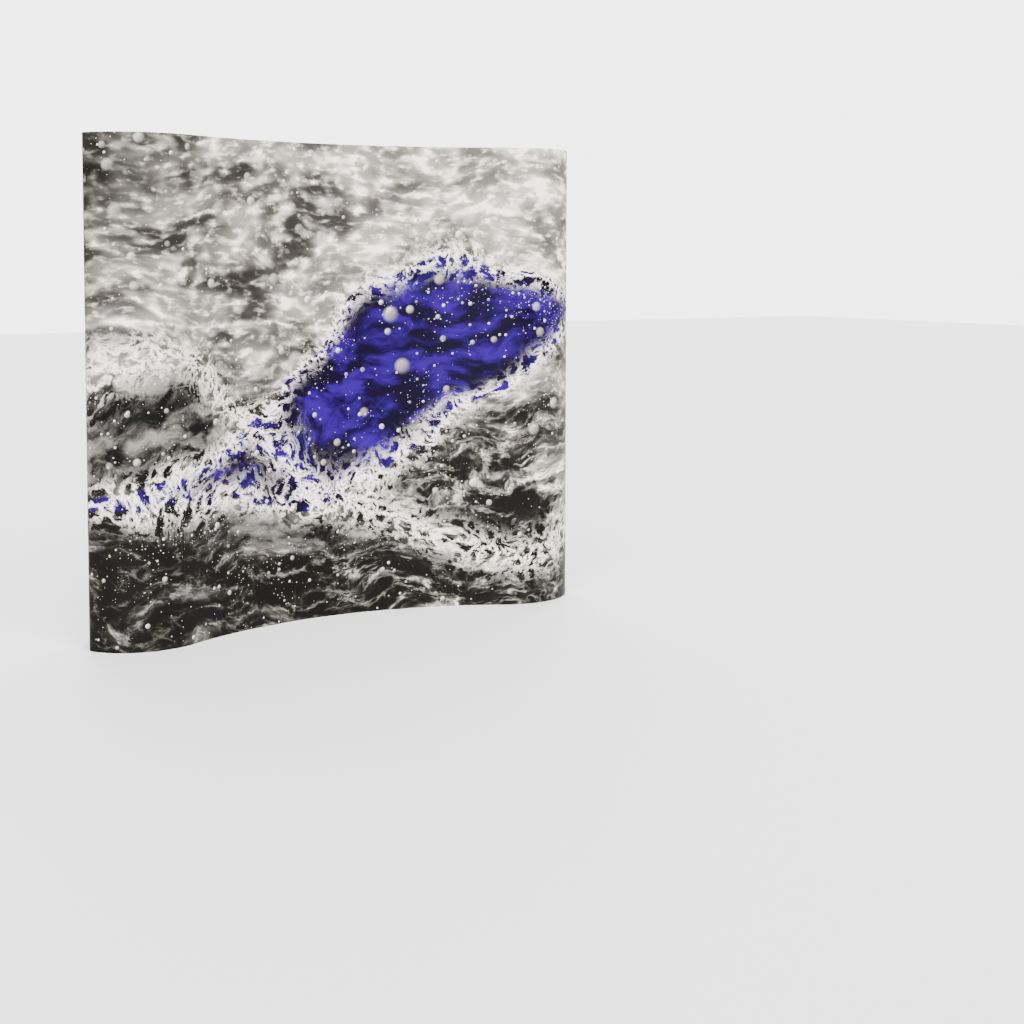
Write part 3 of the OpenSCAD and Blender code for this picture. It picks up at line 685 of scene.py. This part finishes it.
# The middle film runs from seam to seam, and the right side film and end film follow on from
# it. The left two are their mirror images.
centre_start = Vector((-seam_in, back_of_hollow - HOLLOW_RADIUS * (1 - math.cos(seam_angle)), 0))
centre = FilmPath(centre_start, seam_angle)
centre.bend(HOLLOW_RADIUS, -2 * seam_angle)
half_centre = HOLLOW_RADIUS * seam_angle
centre.lay_print(-half_centre)

side = FilmPath(centre.place, centre.direction)
side.bend(HOLLOW_RADIUS, seam_angle - FRONT_SWEEP)
side.bend(FLARE_RADIUS, FRONT_SWEEP)
side.straight(LANDING)
side_end = side.lay_print(half_centre)

# The end film's tight bend and its last bend are joined by their common tangent
end = FilmPath(side.place, 0.0)
end.straight(LANDING)
end.bend(BULGE_RADIUS, BULGE_SWEEP)
# It stops at the outermost corner of the rear bar's face
film_end = max((v.co.xy.copy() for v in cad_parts["end_panel_right"].data.vertices
                if v.co.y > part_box("end_panel_right")[1].y - FILM), key=lambda p: p.x)
rear_start = Vector((*film_end, 0)) - along(REAR_LAND) * BAR_WIDTH
corner_eye = end.place + left_of(end.direction) * CORNER_RADIUS
return_eye = rear_start + left_of(REAR_LAND) * RETURN_RADIUS
eye_step = return_eye - corner_eye
return_angle = (math.atan2(eye_step.y, eye_step.x)
                - math.asin((RETURN_RADIUS - CORNER_RADIUS) / eye_step.length))
end.bend(CORNER_RADIUS, return_angle - BULGE_SWEEP)
end.straight(math.sqrt(eye_step.length ** 2 - (RETURN_RADIUS - CORNER_RADIUS) ** 2))
end.bend(RETURN_RADIUS, REAR_LAND - return_angle)
end.straight(BAR_WIDTH)
end.lay_print(side_end)


def moved(tree, at, by, amount):
    """A point's place, moved by a noise vector of so many metres."""
    centred = tree.nodes.new("ShaderNodeVectorMath")
    centred.operation = "SUBTRACT"
    tree.links.new(by, centred.inputs[0])
    centred.inputs[1].default_value = (0.5, 0.5, 0.5)
    made = tree.nodes.new("ShaderNodeVectorMath")
    made.operation = "MULTIPLY_ADD"
    tree.links.new(centred.outputs[0], made.inputs[0])
    made.inputs[1].default_value = (amount[0], amount[1], 0)
    tree.links.new(at, made.inputs[2])
    return made.outputs[0]


# Drops of spray: round, of mixed sizes, one in each cell of a Voronoi pattern, and none wider
# than its cell. Draw is a random value for each drop, and Middle is where its middle lies.
SMALLEST_DROP = 0.25                         # beside the largest
SHINE_SLOPE = 0.45                           # how fast the shine falls off across a drop
spray, spray_in, spray_out = new_group(
    "spray_drops",
    (("Place", "vector"), ("Per Metre", "value"), ("Size", "value"), ("Softness", "value")),
    (("Drop", "value"), ("Shine", "value"), ("Tone", "value"), ("Draw", "value"),
     ("Middle Across", "value"), ("Middle Up", "value")))
cells = spray.nodes.new("ShaderNodeTexVoronoi")
room = spray.nodes.new("ShaderNodeTexVoronoi")
room.feature = "N_SPHERE_RADIUS"
for pattern in (cells, room):
    pattern.voronoi_dimensions = "2D"
    spray.links.new(spray_in.outputs["Place"], pattern.inputs["Vector"])
    spray.links.new(spray_in.outputs["Per Metre"], pattern.inputs["Scale"])
draw, big, tone = parts_of(spray, cells.outputs["Color"])
gap = Ink(spray, cells.outputs["Distance"])
size = Ink(spray, spray_in.outputs["Size"]) * (SMALLEST_DROP + (1 - SMALLEST_DROP) * big * big)
size = size.worked("MINIMUM", Ink(spray, room.outputs["Radius"]))
soft = Ink(spray, spray_in.outputs["Softness"])
# The shine sits up and to the left of the drop's middle, and the rim below it is dark
at_across, at_up, _ = parts_of(spray, spray_in.outputs["Place"])
mid_across, mid_up, _ = parts_of(spray, cells.outputs["Position"])
per_metre = Ink(spray, spray_in.outputs["Per Metre"])
shine = 0.5 + ((at_up - mid_up) - (at_across - mid_across)) * per_metre / size * SHINE_SLOPE
for label, ink in (("Drop", gap.ramp(size, size * (1 - soft))), ("Shine", shine.ramp(0, 1)),
                   ("Tone", tone), ("Draw", draw), ("Middle Across", mid_across),
                   ("Middle Up", mid_up)):
    spray.links.new(ink.socket, spray_out.inputs[label])


def drops(tree, at, per_metre, size, softness):
    """Places the group of spray drops, and gives what it puts out."""
    made = tree.nodes.new("ShaderNodeGroup")
    made.node_tree = spray
    tree.links.new(at, made.inputs["Place"])
    made.inputs["Per Metre"].default_value = per_metre
    made.inputs["Size"].default_value = size
    made.inputs["Softness"].default_value = softness
    return [Ink(tree, out) for out in made.outputs]


# The print: streaming water in warm greys, a violet swoosh and a dark wave, under spray.
# Its far water, up the wall, is out of focus, and it gets sharper and darker to the floor.
WATER_BLACK, WATER_WHITE = (0.0035, 0.0030, 0.0024), (0.92, 0.855, 0.75)
WATER_CONTRAST = 2.8
WAVE_BLACK, WAVE_GREY = (0.002, 0.002, 0.002), (0.20, 0.19, 0.17)
VIOLET_DEEP, VIOLET = (0.0020, 0.0002, 0.009), (0.020, 0.0015, 0.135)
VIOLET_GLINT = (0.16, 0.12, 0.60)
FOAM_WHITE = (0.95, 0.90, 0.81)
DROP_RIM, DROP_SHINE = (0.14, 0.13, 0.11), (0.95, 0.91, 0.84)
DULLEST_DROP = 0.30                          # beside the brightest

print_face, print_tree, print_shader = new_material("printed_film", roughness=0.55, specular=0.06)
sheet_place = print_tree.nodes.new("ShaderNodeUVMap")
sheet_place.uv_map = "print"
at = sheet_place.outputs["UV"]
across, up, _ = parts_of(print_tree, at)

# The streaming: each noise moves what the one before it has moved, by so many metres
_, swirl = cloud(print_tree, at, scale=1.1, detail=2)
_, curl = cloud(print_tree, at, scale=5, detail=3)
_, fray = cloud(print_tree, at, scale=22, detail=3)
flow = moved(print_tree, at, swirl, (0.55, 0.45))
stream = moved(print_tree, flow, curl, (0.10, 0.10))
ragged = moved(print_tree, stream, fray, (0.03, 0.03))
glitter = moved(print_tree, at, swirl, (0.24, 0.24))
edge_across, edge_up, _ = parts_of(print_tree, ragged)


def water(at, scale, detail, roughness=0.6, flat=1, kind="FBM"):
    """Noise on the print whose forms are so many times as wide as they are high."""
    if flat != 1:
        at = stretched(print_tree, at, (1, flat, 1))
    value, _ = cloud(print_tree, at, scale, detail, roughness, kind)
    return value


# Out of focus: patches of mid grey with glints burnt out to white, lightest at the top right
# and dark in the top left corner
FAR_GREY, FAR_PATCHES, FAR_SOFT_GLINTS, FAR_GLINTS, FAR_RIGHT = 0.22, 0.36, 0.44, 0.50, 0.22
CORNER_DARKNESS = 0.65
patches = water(flow, scale=2.6, detail=2.5, roughness=0.55, flat=1.7)
soft_glints = water(glitter, scale=8, detail=1.5, roughness=0.5, flat=2)
glints = water(glitter, scale=15, detail=2, roughness=0.55, flat=2)
far_water = FAR_GREY + FAR_PATCHES * patches.ramp(0.34, 0.66)
far_water = far_water + FAR_SOFT_GLINTS * soft_glints.ramp(0.44, 0.76)
far_water = far_water + FAR_GLINTS * glints.ramp(0.47, 0.80)
far_water = far_water + FAR_RIGHT * up.ramp(1.1, 2.2) * across.ramp(-0.6, 1.2)
corner = (0.6 * up - 0.8 * across).ramp(1.75, 2.75)
far_water = far_water * (1 - CORNER_DARKNESS * corner)

# In focus: dark ripples with bright cut edges, and a net of torn foam between them, darkest
# low on the left
NEAR_RIPPLES, NEAR_CUTS, NEAR_NET, NEAR_TORN = 0.60, 0.55, 0.20, 0.42
LOW_DARKNESS = 0.34
NET_PER_METRE = 13
ripples = water(stream, scale=3, detail=10, flat=2.4)
cuts = water(stream, scale=3.4, detail=9, roughness=0.72, flat=2.4, kind=RIDGED)
torn = water(ragged, scale=2, detail=6, roughness=0.65)
net_cells = print_tree.nodes.new("ShaderNodeTexVoronoi")
net_cells.feature = "DISTANCE_TO_EDGE"
net_cells.voronoi_dimensions = "2D"
net_cells.inputs["Scale"].default_value = NET_PER_METRE
print_tree.links.new(ragged, net_cells.inputs["Vector"])
net = Ink(print_tree, net_cells.outputs["Distance"]).ramp(0.14, 0)
near_water = NEAR_RIPPLES * ripples.ramp(0.47, 0.68) + NEAR_CUTS * cuts.ramp(1.3, 2.6)
near_water = near_water + NEAR_NET * net * ripples
near_water = near_water + NEAR_TORN * torn.ramp(0.52, 0.68) * up.ramp(0.15, 0.9)
low = (across + 0.9 * up).ramp(0.55, -0.75)
near_water = near_water * (1 - LOW_DARKNESS * low)

far = (up + 0.5 * (patches - 0.5)).ramp(0.65, 1.35)
lightness = far_water.over(near_water, far).worked("MINIMUM", 1).worked("POWER", WATER_CONTRAST)
ground = painted(print_tree, lightness, WATER_BLACK, WATER_WHITE)


SWOOSH_AT, SWOOSH_REACH, SWOOSH_HALF = 0.30, 0.72, 0.47      # its thickest place, in metres
WAVE_AT, WAVE_REACH, WAVE_HALF = -0.85, 0.75, 0.30
TAIL_HALF = 0.02                             # half of their thickness at their tails
CREASES_SHOW = 0.5
STRAY_SPRAY = 0.10                           # beside the spray where it is thickest


def inside_swoosh(across, up):
    """How far inside the swoosh's edge a place is, in metres, and below 0 outside it."""
    line = 1.12 + 0.50 * (0.95 * (across - 0.25)).sine() + 0.06 * (3.7 * across).sine()
    half = TAIL_HALF + SWOOSH_HALF * across.hump(SWOOSH_AT, SWOOSH_REACH)
    return half - (up - line).worked("ABSOLUTE")


def over_wave(across, up):
    """How far a place is above the wave's middle line, and half of the wave's height there."""
    line = 0.60 + 0.34 * (1.35 * across + 3.6).sine() + 0.05 * (5 * across).sine()
    half = TAIL_HALF + WAVE_HALF * across.hump(WAVE_AT, WAVE_REACH)
    return up - line, half


# A dark wave low on the left, and over it the violet swoosh, both with dark folds
in_swoosh = inside_swoosh(edge_across, edge_up)
over_line, wave_half = over_wave(edge_across, edge_up)
in_wave = wave_half - over_line.worked("ABSOLUTE")
folds = water(stream, scale=4, detail=8, roughness=0.62, flat=1.8)
creases = water(stream, scale=9, detail=6, roughness=0.7, kind=RIDGED)
wave = painted(print_tree, folds.ramp(0.45, 0.68), WAVE_BLACK, WAVE_GREY)
violet = painted(print_tree, folds.ramp(0.43, 0.63), VIOLET_DEEP, VIOLET)
violet = painted(print_tree, CREASES_SHOW * creases.ramp(2.2, 3.2), violet, VIOLET_GLINT)
ground = painted(print_tree, in_wave.ramp(-0.01, 0.06), ground, wave)
ground = painted(print_tree, in_swoosh.ramp(-0.002, 0.006), ground, violet)

# Foam clings to the swoosh's edge and to the wave's crest
foam = water(ragged, scale=16, detail=8, roughness=0.75, kind=RIDGED)
foamy = in_swoosh.hump(0.01, 0.06) + (over_line - wave_half).hump(0.03, 0.10)
foam_mask = foam.ramp(1.0, 2.3) * foamy.worked("MINIMUM", 1)
ground = painted(print_tree, foam_mask, ground, FOAM_WHITE)


# Spray over it all. Whether a drop is there is asked at its middle, so each one is whole.
def far_out(across, up):
    """1 far up the wall, where the drops are large and out of focus, and 0 near the floor."""
    return up.ramp(0.65, 1.35)


def busy(across, up):
    """1 where showers of sharp drops fly off the swoosh and the wave's crest, and 0 elsewhere."""
    over_line, wave_half = over_wave(across, up)
    near = inside_swoosh(across, up).hump(-0.03, 0.26) + (over_line - wave_half).hump(0.03, 0.10)
    place = print_tree.nodes.new("ShaderNodeCombineXYZ")
    print_tree.links.new(across.socket, place.inputs["X"])
    print_tree.links.new(up.socket, place.inputs["Y"])
    showers = water(place.outputs["Vector"], scale=3, detail=3)
    return (near + STRAY_SPRAY).worked("MINIMUM", 1) * showers.ramp(0.40, 0.66)


# Drops per metre, their size beside their cells, softness and strength; then the share of
# them that is there everywhere, and the share added where the spray is thick
for per_metre, size, softness, strength, share, more, where in (
        (4, 0.26, 0.60, 0.45, 0.06, 0.40, far_out),
        (8, 0.28, 0.55, 0.60, 0.08, 0.44, far_out),
        (13, 0.36, 0.35, 0.80, 0.07, 0.30, busy),
        (34, 0.42, 0.40, 0.90, 0.03, 0.36, busy),
        (85, 0.42, 0.50, 0.90, 0.01, 0.42, busy)):
    drop, shine, tone, draw, *middle = drops(print_tree, at, per_metre, size, softness)
    held = draw.worked("LESS_THAN", share + more * where(*middle))
    bead = painted(print_tree, shine * (DULLEST_DROP + (1 - DULLEST_DROP) * tone), DROP_RIM,
                   DROP_SHINE)
    ground = painted(print_tree, drop * held * strength, ground, bead)

print_tree.links.new(ground, print_shader.inputs["Base Color"])

# The laminate over the print has a fine lustre, and lies a little uneven
FILM_ROUGHNESS, ROUGHNESS_VARIES = 0.36, 0.12
LUSTRE_RELIEF, LUSTRE_DEPTH = 0.12, 0.0004   # strength, and depth in metres
UNEVENNESS = 3                               # beside the lustre's relief
lustre, _ = cloud(print_tree, at, scale=900, detail=2, roughness=0.5)
uneven, _ = cloud(print_tree, at, scale=3, detail=2, roughness=0.5)
gloss = FILM_ROUGHNESS + ROUGHNESS_VARIES * uneven
print_tree.links.new(gloss.socket, print_shader.inputs["Roughness"])
lamination = print_tree.nodes.new("ShaderNodeBump")
lamination.inputs["Strength"].default_value = LUSTRE_RELIEF
lamination.inputs["Distance"].default_value = LUSTRE_DEPTH
print_tree.links.new((lustre + UNEVENNESS * uneven).socket, lamination.inputs["Height"])
print_tree.links.new(lamination.outputs["Normal"], print_shader.inputs["Normal"])

# The films' backs are opaque grey, with the faint marks of the rollers that pressed them
BACK_GREY, BACK_MARKS = (0.27, 0.268, 0.262), (0.20, 0.197, 0.19)
CUT_WHITE, CUT_SOILED = (0.78, 0.77, 0.74), (0.60, 0.59, 0.56)
film_back = moulded_material("film_back", BACK_GREY, BACK_MARKS, smoothness=0.42,
                             grain_per_metre=1500, dust=0, bump=0.05)
film_edge = moulded_material("film_edge", CUT_WHITE, CUT_SOILED, smoothness=0.40, dust=0)
BACK, CUT = 1, 2                             # a film's materials after the print


def film_piece(name, node, path, mirrored=False):
    """Gives a copy of a strip its thickness, with the print outside, and fits it in place."""
    shape = path.shape.copy()
    outward = -left_of(path.start_direction)
    if mirrored:
        bmesh.ops.scale(shape, vec=(-1, 1, 1), verts=shape.verts)
        outward.x *= -1
        sheet = shape.loops.layers.uv["print"]
        for loop in (loop for face in shape.faces for loop in face.loops):
            loop[sheet].uv.x *= -1
    bmesh.ops.recalc_face_normals(shape, faces=shape.faces)
    shape.faces.ensure_lookup_table()
    if shape.faces[0].normal.dot(outward) < 0:
        bmesh.ops.reverse_faces(shape, faces=shape.faces)
    front, front_corners = set(shape.faces), set(shape.verts)
    bmesh.ops.solidify(shape, geom=shape.faces[:], thickness=FILM)
    for face in set(shape.faces) - front:
        is_cut = any(corner in front_corners for corner in face.verts)
        face.material_index = CUT if is_cut else BACK
    for face in shape.faces:
        face.smooth = face.material_index != CUT
    for edge in shape.edges:
        edge.smooth = all(face.smooth for face in edge.link_faces)
    fitted(name, shape, [print_face, film_back, film_edge], node, node)


film_piece("graphic_center", "mural_center", centre)
film_piece("graphic_right", "mural_right", side)
film_piece("graphic_left", "mural_left", side, mirrored=True)
film_piece("graphic_end_right", "end_panel_right", end)
film_piece("graphic_end_left", "end_panel_left", end, mirrored=True)
